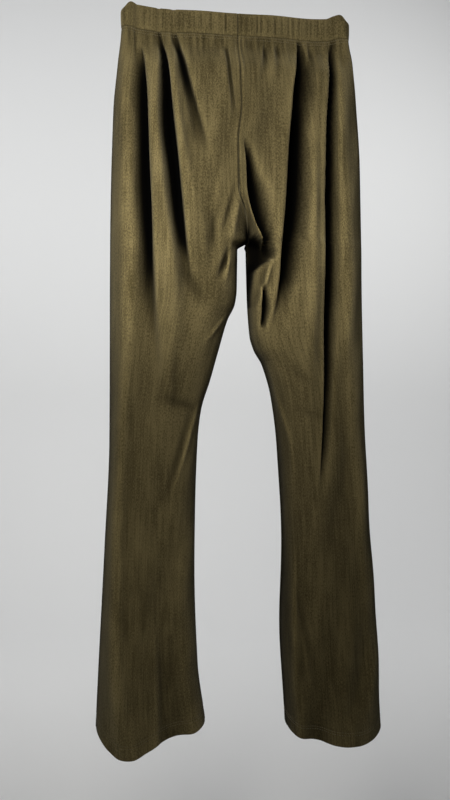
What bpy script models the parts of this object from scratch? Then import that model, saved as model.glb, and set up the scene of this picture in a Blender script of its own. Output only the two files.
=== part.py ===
"""Pull-on flared trousers, hanging from their waistband as two hanger clips hold them.

The origin is the middle of the waistband's top edge. +Z is up, -Y is the front, and +X is the
wearer's left. Lengths are in metres. A point of the cloth is found by its drop below the top edge
and by the distance along the cloth from the side seam, so that every piece follows one shape.
"""

import math

import bmesh
import bpy
import numpy as np

# Heights, as drops below the waistband's top edge.
BAND_HEIGHT = 0.034
HIGH_HIP_DROP = 0.105
HIP_DROP = 0.200
RISE = 0.325
KNEE_BELOW_CROTCH = 0.290
INSEAM = 0.705

# Half widths: from the middle of the trousers to the side seam.
WAIST_HALF = 0.161
HIGH_HIP_HALF = 0.172
HIP_HALF = 0.177
THIGH_HALF = 0.180
KNEE_HALF = 0.181
HEM_HALF = 0.203

# From the middle of the trousers to the inseam, which is half the space between the legs.
CROTCH_GAP_HALF = 0.005
THIGH_GAP_HALF = 0.034
KNEE_GAP_HALF = 0.057
SHIN_GAP_HALF = 0.062
HEM_GAP_HALF = 0.055

# Half depths, front to back.
HIP_DEPTH_HALF = 0.050
CROTCH_DEPTH_HALF = 0.062
KNEE_DEPTH_HALF = 0.056
HEM_DEPTH_HALF = 0.068
FRONT_SHARE = 0.96
BACK_SHARE = 1.04
ROUNDNESS = 2.5

# The waist's outline, where a clip on each side pinches the front and the back together.
CLIP_X = 0.126
CLIP_WIDTH = 0.028
CLIP_DEPTH_HALF = 0.0048
WAIST_DEPTH_HALF = 0.0165
CORNER_DEPTH_HALF = 0.0090
DRAPE_IN_DROP = 0.120
LEGS_PART_DROP = 0.120

# Cloth, elastic, seams, hems and stitches.
CLOTH = 0.0012
ELASTIC = 0.0012
ELASTIC_HEIGHT = 0.030
CLEARANCE = 0.0003
SEAM_WIDTH = 0.007
HEM_ALLOWANCE = 0.020
THREAD_RADIUS = 0.00025
BAND_ROWS_BELOW = (0.0015, 0.0050)
HEM_ROWS_RISE = (0.0180, 0.0145)
LABEL_WIDTH = 0.025
LABEL_LENGTH = 0.045
LABEL_THICKNESS = 0.0004
LABEL_DROP = 0.090

# How finely the cloth is faceted.
OUTLINE_STEPS = 240
CORNER_COLUMNS = 4
BOW_COLUMNS = 7
BAND_FOLD_STEPS = 4

LENGTH = RISE + INSEAM
KNEE_DROP = RISE + KNEE_BELOW_CROTCH
THIGH_DROP = RISE + 0.6 * KNEE_BELOW_CROTCH
FOLD_RADIUS = CLOTH + CLEARANCE + ELASTIC / 2
SEAM_THICKNESS = 2 * CLOTH
WAIST_SEAM_END = BAND_HEIGHT + CLEARANCE + SEAM_WIDTH
SEAMS_START = WAIST_SEAM_END + 3 * CLEARANCE
RISE_SEAM_END = RISE * 0.92
INSEAM_START = RISE + INSEAM * 0.035
SEAMS_END = LENGTH - HEM_ALLOWANCE - 3 * CLEARANCE
FRONT, BACK = -1, 1
LEFT, RIGHT = 1, -1
SIDE_NAMES = {LEFT: "left", RIGHT: "right"}
FACE_NAMES = {FRONT: "front", BACK: "back"}

# Colours are linear.
MATERIALS = {
    "cloth": ((0.105, 0.085, 0.038), 0.92),
    "overlock": ((0.115, 0.094, 0.044), 0.85),
    "elastic": ((0.62, 0.60, 0.55), 0.80),
    "thread": ((0.130, 0.108, 0.052), 0.70),
    "label": ((0.80, 0.79, 0.76), 0.60),
}


def smooth(value):
    """0 to 1 with level ends."""
    value = min(max(value, 0.0), 1.0)
    return value * value * (3 - 2 * value)


def through(stations, drop):
    """A smooth curve through (drop, value) stations, which never overshoots them."""
    drops, values = zip(*stations)
    if drop <= drops[0]:
        return values[0]
    if drop >= drops[-1]:
        return values[-1]
    slopes = np.diff(values) / np.diff(drops)
    tangents = [0.0]
    for before, after in zip(slopes[:-1], slopes[1:]):
        tangents.append(2 * before * after / (before + after) if before * after > 0 else 0.0)
    tangents.append(slopes[-1])
    k = int(np.searchsorted(drops, drop)) - 1
    span = drops[k + 1] - drops[k]
    f = (drop - drops[k]) / span
    return (
        (1 + 2 * f) * (1 - f) ** 2 * values[k]
        + f * (1 - f) ** 2 * span * tangents[k]
        + f * f * (3 - 2 * f) * values[k + 1]
        + f * f * (f - 1) * span * tangents[k + 1]
    )


def outer_half(drop):
    """From the middle to the side seam."""
    stations = [
        (BAND_HEIGHT, WAIST_HALF),
        (HIGH_HIP_DROP, HIGH_HIP_HALF),
        (HIP_DROP, HIP_HALF),
        (RISE, THIGH_HALF),
        (KNEE_DROP, KNEE_HALF),
        (LENGTH, HEM_HALF),
    ]
    return through(stations, drop)


def inner_half(drop):
    """From the middle to a leg's inner edge. It is negative where the two legs still run together."""
    if drop < RISE:
        apart = max(0.0, (drop - LEGS_PART_DROP) / (RISE - LEGS_PART_DROP))
        return -outer_half(drop) * (1 - apart)
    stations = [
        (RISE, 0.0),
        (RISE + 0.012, CROTCH_GAP_HALF),
        (RISE + 0.3 * KNEE_BELOW_CROTCH, CROTCH_GAP_HALF + 0.002),
        (THIGH_DROP, THIGH_GAP_HALF),
        (KNEE_DROP, KNEE_GAP_HALF),
        (KNEE_DROP + 0.5 * (LENGTH - KNEE_DROP), SHIN_GAP_HALF),
        (LENGTH, HEM_GAP_HALF),
    ]
    return through(stations, drop)


def half_depth(drop):
    """From the side seam's plane to the front or the back, before their shares."""
    stations = [
        (BAND_HEIGHT, WAIST_DEPTH_HALF),
        (HIP_DROP, HIP_DEPTH_HALF),
        (RISE, CROTCH_DEPTH_HALF),
        (KNEE_DROP, KNEE_DEPTH_HALF),
        (LENGTH, HEM_DEPTH_HALF),
    ]
    return through(stations, drop)


def waist_outline():
    """The pinched waist from the side seam to the middle: a rounded loop, a flat where the clip
    grips, and a shallow bow between the clips."""
    flat_out = CLIP_X + CLIP_WIDTH / 2
    flat_in = CLIP_X - CLIP_WIDTH / 2
    points = []
    for k in range(OUTLINE_STEPS // 3):
        f = k / (OUTLINE_STEPS // 3)
        bulge = CORNER_DEPTH_HALF * math.sin(math.pi * f)
        points.append((flat_out + (WAIST_HALF - flat_out) * math.cos(math.pi * f / 2),
                       bulge + CLIP_DEPTH_HALF * smooth(f)))
    points.append((flat_out, CLIP_DEPTH_HALF))
    for k in range(OUTLINE_STEPS // 2 + 1):
        f = k / (OUTLINE_STEPS // 2)
        bow = (WAIST_DEPTH_HALF - CLIP_DEPTH_HALF) * smooth(f)
        points.append((flat_in * (1 - f), CLIP_DEPTH_HALF + bow))
    return np.array(points)


def lobe_outline(drop, depth):
    """Half of one leg's oval, or of the part of it that lies on its own side of the middle."""
    outer, inner = outer_half(drop), inner_half(drop)
    centre, half = (outer + inner) / 2, (outer - inner) / 2
    turn = math.pi
    if inner < 0:
        turn = math.acos(-((centre / half) ** (ROUNDNESS / 2)))
    points = []
    for k in range(OUTLINE_STEPS + 1):
        angle = turn * k / OUTLINE_STEPS
        across, along = math.cos(angle), max(math.sin(angle), 0.0)
        points.append((centre + half * math.copysign(abs(across) ** (2 / ROUNDNESS), across),
                       depth * along ** (2 / ROUNDNESS)))
    return np.array(points)


def resampled(points, count):
    """The same line with evenly spaced points, and its length."""
    steps = np.linalg.norm(np.diff(points, axis=0), axis=1)
    along = np.concatenate([[0.0], np.cumsum(steps)])
    at = np.linspace(0, along[-1], count)
    return np.stack([np.interp(at, along, points[:, i]) for i in (0, 1)], axis=1), along[-1]


outlines = {}


def outline(drop, face):
    """(points, length) of the cloth's outline from the side seam to the middle seam or inseam."""
    key = (round(drop, 7), face)
    if key not in outlines:
        share = FRONT_SHARE if face == FRONT else BACK_SHARE
        waist = resampled(waist_outline(), OUTLINE_STEPS + 1)[0]
        waist[:, 0] *= outer_half(drop) / WAIST_HALF
        mix = smooth((drop - BAND_HEIGHT) / DRAPE_IN_DROP)
        points = waist
        if mix > 0:
            lobe = resampled(lobe_outline(drop, half_depth(drop) * share), OUTLINE_STEPS + 1)[0]
            points = waist * (1 - mix) + lobe * mix
        outlines[key] = resampled(points, OUTLINE_STEPS + 1)
    return outlines[key]


def place(drop, distance, face, side):
    """The point of the cloth's outside that far from the side seam. A distance below 0 is round the
    side seam, and one past the outline is round the inseam, or past the middle above the crotch."""
    if distance < 0:
        return place(drop, -distance, -face, side)
    points, length = outline(drop, face)
    if distance > length:
        if drop > RISE:
            return place(drop, outline(drop, -face)[1] - (distance - length), -face, side)
        return place(drop, 2 * length - distance, face, -side)
    at = distance / length * OUTLINE_STEPS
    k = min(int(at), OUTLINE_STEPS - 1)
    x, y = points[k] + (points[k + 1] - points[k]) * (at - k)
    return np.array([side * x, face * y, -drop])


def outward(drop, distance, face, side):
    """The direction straight out of the cloth."""
    step = 0.0008
    along = place(drop, distance + step, face, side) - place(drop, distance - step, face, side)
    if drop < BAND_HEIGHT + step:
        down = np.array([0.0, 0.0, -1.0])
    else:
        down = place(drop + step, distance, face, side) - place(drop - step, distance, face, side)
    normal = np.cross(along, down) * -side * face
    return normal / np.linalg.norm(normal)


def inside(drop, distance, face, side, inset):
    """A point that far inside the cloth's outer surface, or outside it where inset is negative."""
    return place(drop, distance, face, side) - inset * outward(drop, distance, face, side)


def flat_shares():
    """Where the clip's flat begins and ends, as shares of the waist outline's length."""
    points = outline(BAND_HEIGHT, FRONT)[0]
    edge = CLIP_WIDTH / 2 - CLEARANCE * 4
    shares = np.linspace(0, 1, len(points))
    return [float(np.interp(-x, -points[:, 0], shares)) for x in (CLIP_X + edge, CLIP_X - edge)]


def columns(drop, face):
    """Distances from the side seam of a panel's columns. The seams' own columns are among them, so
    that the facets of the layers lie side by side."""
    out_end, in_end = flat_shares()
    length = outline(drop, face)[1]
    near = [0.0, SEAM_WIDTH / 4, SEAM_WIDTH / 2]
    shares = [out_end * k / CORNER_COLUMNS for k in range(1, CORNER_COLUMNS + 1)]
    shares += [in_end + (1 - in_end) * k / BOW_COLUMNS for k in range(BOW_COLUMNS)]
    return near + [share * length for share in shares] + [length - d for d in reversed(near)]


def panel_drops():
    """The rows of a panel, closer together near the waist and the crotch. The ends of the seams and
    of the hem are among them."""
    hips = [RISE * f for f in (0.17, 0.22, 0.3, 0.4, 0.5, 0.6, 0.7, 0.8, 0.87, 0.96, 0.993)]
    legs = [RISE + INSEAM * f for f in (0.004, 0.017, 0.075, 0.12, 0.17, 0.23, 0.29, 0.36, 0.44,
                                        0.54, 0.66, 0.78, 0.88)]
    ends = [BAND_HEIGHT + CLEARANCE, WAIST_SEAM_END, SEAMS_START, RISE_SEAM_END, INSEAM_START,
            SEAMS_END, LENGTH - HEM_ALLOWANCE, LENGTH]
    return sorted(hips + legs + ends)


def material(slot):
    """The slot's material, made once."""
    if slot in bpy.data.materials:
        return bpy.data.materials[slot]
    colour, roughness = MATERIALS[slot]
    made = bpy.data.materials.new(slot)
    made.use_nodes = True
    shader = made.node_tree.nodes["Principled BSDF"]
    shader.inputs["Base Color"].default_value = (*colour, 1)
    shader.inputs["Roughness"].default_value = roughness
    shader.inputs["Metallic"].default_value = 0.0
    return made


def add_object(name, data, slot):
    """Links the object into the garment's collection."""
    made = bpy.data.objects.new(name, data)
    data.materials.append(material(slot))
    garment.objects.link(made)


def add_slab(name, slot, columns_count, rows_count, point_at, closed=False):
    """A layer with its thickness. point_at(i, j, layer) is the point in column i and row j, on the
    layer's outside where layer is 0 and on its inside where it is 1. A closed layer's columns run
    all the way round."""
    mesh = bpy.data.meshes.new(name)
    bm = bmesh.new()
    verts = [[[bm.verts.new(point_at(i, j, layer)) for i in range(columns_count)]
              for j in range(rows_count)] for layer in (0, 1)]
    last = columns_count if closed else columns_count - 1
    for i in range(last):
        right = (i + 1) % columns_count
        for j in range(rows_count - 1):
            for grid in verts:
                bm.faces.new((grid[j][i], grid[j][right], grid[j + 1][right], grid[j + 1][i]))
        for j in (0, rows_count - 1):
            bm.faces.new((verts[0][j][i], verts[0][j][right], verts[1][j][right], verts[1][j][i]))
    if not closed:
        for j in range(rows_count - 1):
            for i in (0, columns_count - 1):
                bm.faces.new((verts[0][j][i], verts[0][j + 1][i], verts[1][j + 1][i],
                              verts[1][j][i]))
    bmesh.ops.recalc_face_normals(bm, faces=bm.faces)
    bm.to_mesh(mesh)
    bm.free()
    add_object(name, mesh, slot)


def add_thread(name, ring):
    """A row of stitches, as one closed thread."""
    curve = bpy.data.curves.new(name, "CURVE")
    curve.dimensions = "3D"
    curve.bevel_depth = THREAD_RADIUS
    curve.bevel_resolution = 0
    line = curve.splines.new("POLY")
    line.points.add(len(ring) - 1)
    for point, at in zip(line.points, ring):
        point.co = (*at, 1)
    line.use_cyclic_u = True
    add_object(name, curve, "thread")


def waist_ring(drop, inset):
    """Points all round the trousers above the crotch, from the left side seam by way of the back."""
    ring = []
    for side, face, onward in ((LEFT, BACK, True), (RIGHT, BACK, False), (RIGHT, FRONT, True),
                               (LEFT, FRONT, False)):
        stops = columns(drop, face)
        kept = stops[:-1] if onward else stops[:0:-1]
        ring += [inside(drop, distance, face, side, inset) for distance in kept]
    return ring


def leg_ring(drop, side, inset):
    """Points all round one leg, from its side seam by way of the back."""
    back = [inside(drop, distance, BACK, side, inset) for distance in columns(drop, BACK)[:-1]]
    front = [inside(drop, distance, FRONT, side, inset) for distance in columns(drop, FRONT)[:0:-1]]
    return back + front


def add_loop(name, slot, rings):
    """A closed band, from its rings[layer][row] of points."""
    add_slab(name, slot, len(rings[0][0]), len(rings[0]), lambda i, j, layer: rings[layer][j][i],
             closed=True)


def add_panel(face, side):
    """One of the four leg panels, from the waist seam to the hem, short of its seams by a clearance."""
    drops = panel_drops()

    def point_at(i, j, layer):
        stops = columns(drops[j], face)
        distance = min(max(stops[i], CLEARANCE / 2), stops[-1] - CLEARANCE / 2)
        return inside(drops[j], distance, face, side, layer * CLOTH)

    add_slab(f"{FACE_NAMES[face]}_{SIDE_NAMES[side]}_panel", "cloth",
             len(columns(RISE, face)), len(drops), point_at)


def band_section(layer):
    """The waistband's folded section, as (inset, drop): up the outside, over the top and down the
    inside."""
    radius = FOLD_RADIUS - layer * CLOTH
    section = [(layer * CLOTH, BAND_HEIGHT)]
    for k in range(BAND_FOLD_STEPS + 1):
        angle = math.pi * k / BAND_FOLD_STEPS
        section.append((FOLD_RADIUS - radius * math.cos(angle),
                        FOLD_RADIUS - radius * math.sin(angle)))
    return section + [(2 * FOLD_RADIUS - layer * CLOTH, BAND_HEIGHT)]


def add_band(side):
    """One half of the waistband's casing, from the middle of the front to the middle of the back."""
    sections = [band_section(0), band_section(1)]
    front = [(FRONT, distance) for distance in reversed(columns(0.0, FRONT))]
    back = [(BACK, distance) for distance in columns(0.0, BACK)]
    stops = front + back[1:]

    def point_at(i, j, layer):
        face, distance = stops[i]
        inset, drop = sections[layer][j]
        at = inside(0.0, distance, face, side, inset)
        at[2] = -drop
        if i in (0, len(stops) - 1):
            at[0] = side * CLEARANCE / 2
        return at

    add_slab(f"waistband_{SIDE_NAMES[side]}", "cloth", len(stops), len(sections[0]), point_at)


def add_elastic():
    """The elastic, a closed loop inside the waistband's casing."""
    rings = []
    for layer in (0, 1):
        ring = waist_ring(0.0, CLOTH + CLEARANCE + layer * ELASTIC)
        rings.append([[(x, y, -drop) for x, y, z in ring]
                      for drop in (FOLD_RADIUS, FOLD_RADIUS + ELASTIC_HEIGHT)])
    add_loop("waist_elastic", "elastic", rings)


def add_waist_seam():
    """The overlocked edge of the waist seam, turned down inside the panels."""
    insets = (CLOTH + CLEARANCE, CLOTH + CLEARANCE + SEAM_THICKNESS)
    drops = (BAND_HEIGHT + CLEARANCE, WAIST_SEAM_END)
    add_loop("waist_seam", "overlock",
             [[waist_ring(drop, inset) for drop in drops] for inset in insets])


def add_seam(name, start, end, point):
    """A seam allowance: two plies overlocked together, lying inside over the seam. point(drop,
    across, inset) is a point that far across the seam."""
    drops = [drop for drop in panel_drops() if start <= drop <= end]

    def point_at(i, j, layer):
        inset = CLOTH + CLEARANCE + layer * SEAM_THICKNESS
        return point(drops[j], SEAM_WIDTH / 4 * (i - 2), inset)

    add_slab(name, "overlock", 5, len(drops), point_at)


def add_seams():
    """The side seams, the inseams and the front and back rise seams."""
    for side in (LEFT, RIGHT):

        def on_side(drop, across, inset, side=side):
            return inside(drop, across, FRONT, side, inset)

        def on_inseam(drop, across, inset, side=side):
            return inside(drop, outline(drop, FRONT)[1] + across, FRONT, side, inset)

        add_seam(f"{SIDE_NAMES[side]}_side_seam", SEAMS_START, SEAMS_END, on_side)
        add_seam(f"{SIDE_NAMES[side]}_inseam", INSEAM_START, SEAMS_END, on_inseam)
    for face in (FRONT, BACK):

        def on_rise(drop, across, inset, face=face):
            side = RIGHT if across < 0 else LEFT
            return inside(drop, outline(drop, face)[1] - abs(across), face, side, inset)

        add_seam(f"{FACE_NAMES[face]}_rise_seam", SEAMS_START, RISE_SEAM_END, on_rise)


def add_hems():
    """Each leg's turned-up hem, inside the panels."""
    insets = (CLOTH + CLEARANCE, CLOTH + CLEARANCE + CLOTH)
    for side in (LEFT, RIGHT):
        rings = [[leg_ring(drop, side, inset) for drop in (LENGTH - HEM_ALLOWANCE, LENGTH)]
                 for inset in insets]
        add_loop(f"{SIDE_NAMES[side]}_hem", "cloth", rings)


def add_stitches():
    """The twin rows of stitches under the waistband and above each hem."""
    out = -(CLEARANCE + THREAD_RADIUS)
    for row, below in zip(("upper", "lower"), BAND_ROWS_BELOW):
        add_thread(f"waist_stitching_{row}", waist_ring(BAND_HEIGHT + below, out))
    for side in (LEFT, RIGHT):
        for row, rise in zip(("upper", "lower"), HEM_ROWS_RISE):
            add_thread(f"{SIDE_NAMES[side]}_hem_stitching_{row}", leg_ring(LENGTH - rise, side, out))


def add_label():
    """A plain care label, sewn into the left side seam and hanging inside against the back panel."""
    outer = CLOTH + CLEARANCE + SEAM_THICKNESS + CLEARANCE
    steps = 3

    def point_at(i, j, layer):
        drop = LABEL_DROP + LABEL_LENGTH * j / steps
        return inside(drop, SEAM_WIDTH / 4 + LABEL_WIDTH * i / steps, BACK, LEFT,
                      outer + layer * LABEL_THICKNESS)

    add_slab("care_label", "label", steps + 1, steps + 1, point_at)


for old in list(bpy.data.objects):
    bpy.data.objects.remove(old)
garment = bpy.data.collections.new("flared_trousers")
bpy.context.scene.collection.children.link(garment)

for the_side in (LEFT, RIGHT):
    for the_face in (FRONT, BACK):
        add_panel(the_face, the_side)
    add_band(the_side)
add_elastic()
add_waist_seam()
add_seams()
add_hems()
add_stitches()
add_label()
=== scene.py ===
"""Looks of the pull-on flared trousers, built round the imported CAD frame. Lengths are in metres.

Every cloth point is found by its drop below the waistband's top edge and by its distance along the
cloth from the side seam. +Z is up, -Y is the front and +X is the wearer's left.
"""

import math

import bpy
import numpy as np
from mathutils import Euler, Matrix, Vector


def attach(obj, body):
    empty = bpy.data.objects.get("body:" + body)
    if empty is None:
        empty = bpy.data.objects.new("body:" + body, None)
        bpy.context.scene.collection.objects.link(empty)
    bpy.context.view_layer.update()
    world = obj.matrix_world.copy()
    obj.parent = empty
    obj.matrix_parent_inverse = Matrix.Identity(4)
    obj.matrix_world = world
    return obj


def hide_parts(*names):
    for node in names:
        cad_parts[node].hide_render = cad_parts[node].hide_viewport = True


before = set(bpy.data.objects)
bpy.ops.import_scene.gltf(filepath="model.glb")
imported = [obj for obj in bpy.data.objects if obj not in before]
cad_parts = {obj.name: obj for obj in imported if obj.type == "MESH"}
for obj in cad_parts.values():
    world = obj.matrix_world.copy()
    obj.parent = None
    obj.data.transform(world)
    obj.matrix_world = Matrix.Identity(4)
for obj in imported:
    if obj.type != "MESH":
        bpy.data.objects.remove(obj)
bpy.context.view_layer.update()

LEFT, RIGHT = 1, -1
FRONT, BACK = -1, 1
SIDE_NAMES = {LEFT: "left", RIGHT: "right"}
FACE_NAMES = {FRONT: "front", BACK: "back"}

# Sizes shared with the CAD.
BAND_HEIGHT = 0.034
RISE = 0.325
LENGTH = 1.025
WAIST_HALF = 0.161
CLIP_X, CLIP_WIDTH, CLIP_DEPTH_HALF = 0.126, 0.028, 0.0048
WAIST_BOW, CORNER_BOW = 0.0140, 0.0090
CLOTH = 0.0011
ELASTIC_HEIGHT = 0.030
HEM_ALLOWANCE = 0.020
SEAM_WIDTH = 0.007
ROUNDNESS = 2.5
DENSE = 500

# The side seams' and the inner edges' distance from the middle, as (drop, distance).
OUTER = {
    RIGHT: [(0.034, 0.161), (0.085, 0.166), (0.148, 0.172), (0.334, 0.177), (0.604, 0.179),
            (0.749, 0.186), (0.893, 0.193), (LENGTH, 0.199)],
    LEFT: [(0.034, 0.162), (0.065, 0.167), (0.130, 0.172), (0.216, 0.176), (0.403, 0.178),
           (0.519, 0.179), (0.692, 0.186), (0.844, 0.195), (LENGTH, 0.203)],
}
INNER = {
    RIGHT: [(RISE, 0.001), (0.393, 0.002), (0.414, 0.005), (0.435, 0.015), (0.478, 0.028),
            (0.520, 0.040), (0.562, 0.053), (0.604, 0.058), (0.709, 0.062), (0.793, 0.063),
            (0.941, 0.059), (LENGTH, 0.049)],
    LEFT: [(RISE, 0.013), (0.392, 0.014), (0.456, 0.018), (0.477, 0.024), (0.498, 0.036),
           (0.541, 0.048), (0.626, 0.058), (0.754, 0.064), (0.880, 0.060), (LENGTH, 0.068)],
}
# How far the rise seam and the crotch stand to the wearer's left, as (drop, shift).
CROTCH_SHIFT = [(0.200, -0.006), (0.262, -0.004), (0.290, 0.006), (0.312, 0.012), (RISE, 0.014)]
CROTCH_SHIFT_END = 0.336
LEGS_PART_DROP = 0.120
DRAPE_IN_DROP = 0.060
SEAM_FORWARD = {LEFT: 0.007, RIGHT: 0.0}
# The hem's drop across each leg, as (distance from the middle, drop).
HEM_DROP = {
    RIGHT: [(0.045, 0.992), (0.070, 0.998), (0.103, 1.003), (0.116, 1.006), (0.131, 1.013),
            (0.150, 1.019), (0.168, 1.020), (0.182, 1.013), (0.199, 0.995)],
    LEFT: [(0.064, 1.002), (0.069, 1.009), (0.080, 1.014), (0.101, 1.017), (0.125, 1.020),
           (0.158, 1.021), (0.178, 1.018), (0.203, 1.010)],
}
# How far the hanger's clips and the band's own weight lift the waist, as (x, lift).
WAIST_LIFT = [(-0.161, 0.001), (-0.140, 0.000), (-0.112, -0.003), (0.000, -0.0080), (0.085, -0.006),
              (0.112, -0.005), (0.128, -0.004), (0.142, 0.001), (0.162, -0.001)]
# How far the cloth stands out from the middle plane, as (drop, distance).
HALF_DEPTH = {
    FRONT: [(BAND_HEIGHT, 0.0220), (0.070, 0.034), (0.120, 0.044), (0.220, 0.053), (RISE, 0.058),
            (0.615, 0.052), (LENGTH, 0.060)],
    BACK: [(BAND_HEIGHT, 0.0220), (0.070, 0.034), (0.120, 0.047), (0.220, 0.059), (RISE, 0.063),
           (0.615, 0.056), (LENGTH, 0.064)],
}


def smooth(value):
    """0 to 1 with level ends."""
    value = np.clip(value, 0.0, 1.0)
    return value * value * (3 - 2 * value)


def bump(distance, middle, width):
    """1 at the middle and near 0 a few widths away."""
    return np.exp(-((distance - middle) / width) ** 2)


def through(stations, at):
    """A smooth curve through (place, value) stations, which never overshoots them."""
    places, values = np.array(stations, float).T
    at = np.clip(at, places[0], places[-1])
    slopes = np.diff(values) / np.diff(places)
    tangents = np.concatenate([slopes[:1] * 0, np.zeros(len(slopes) - 1), slopes[-1:]])
    both = slopes[:-1] * slopes[1:] > 0
    total = np.where(both, slopes[:-1] + slopes[1:], 1.0)
    tangents[1:-1] = np.where(both, 2 * slopes[:-1] * slopes[1:] / total, 0.0)
    k = np.clip(np.searchsorted(places, at) - 1, 0, len(slopes) - 1)
    span = places[k + 1] - places[k]
    f = (at - places[k]) / span
    return ((1 + 2 * f) * (1 - f) ** 2 * values[k] + f * (1 - f) ** 2 * span * tangents[k]
            + f * f * (3 - 2 * f) * values[k + 1] + f * f * (f - 1) * span * tangents[k + 1])


def distances(points):
    """How far along a line each of its points is."""
    return np.concatenate([[0.0], np.cumsum(np.linalg.norm(np.diff(points, axis=0), axis=1))])


def resampled(points, at=None):
    """The same line with points at the given distances along it, or evenly spaced; and its length.
    Distances are seen from above, and any more columns, such as the painted shade, go along."""
    along = distances(points[:, :2])
    if at is None:
        at = np.linspace(0, along[-1], DENSE)
    return np.stack([np.interp(at, along, column) for column in points.T], axis=1), along[-1]


def waist_depth(x):
    """The waist's half depth at a distance from the middle, pinched at the clip."""
    flat_out, flat_in = CLIP_X + CLIP_WIDTH / 2, CLIP_X - CLIP_WIDTH / 2
    turn = np.arccos(np.clip((x - flat_out) / (WAIST_HALF - flat_out), 0, 1)) / (math.pi / 2)
    corner = CORNER_BOW * np.sin(math.pi * turn) + CLIP_DEPTH_HALF * smooth(turn)
    middle = CLIP_DEPTH_HALF + (WAIST_BOW - CLIP_DEPTH_HALF) * smooth((1 - x / flat_in) * 1.5)
    return np.where(x > flat_out, corner, middle)


def lobe_depth(x, outer, inner, depth):
    """Half the depth of one leg's oval at a distance from the middle."""
    off = np.abs(2 * x - outer - inner) / (outer - inner)
    return depth * (1 - np.minimum(off, 1) ** ROUNDNESS) ** (1 / ROUNDNESS)


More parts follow.
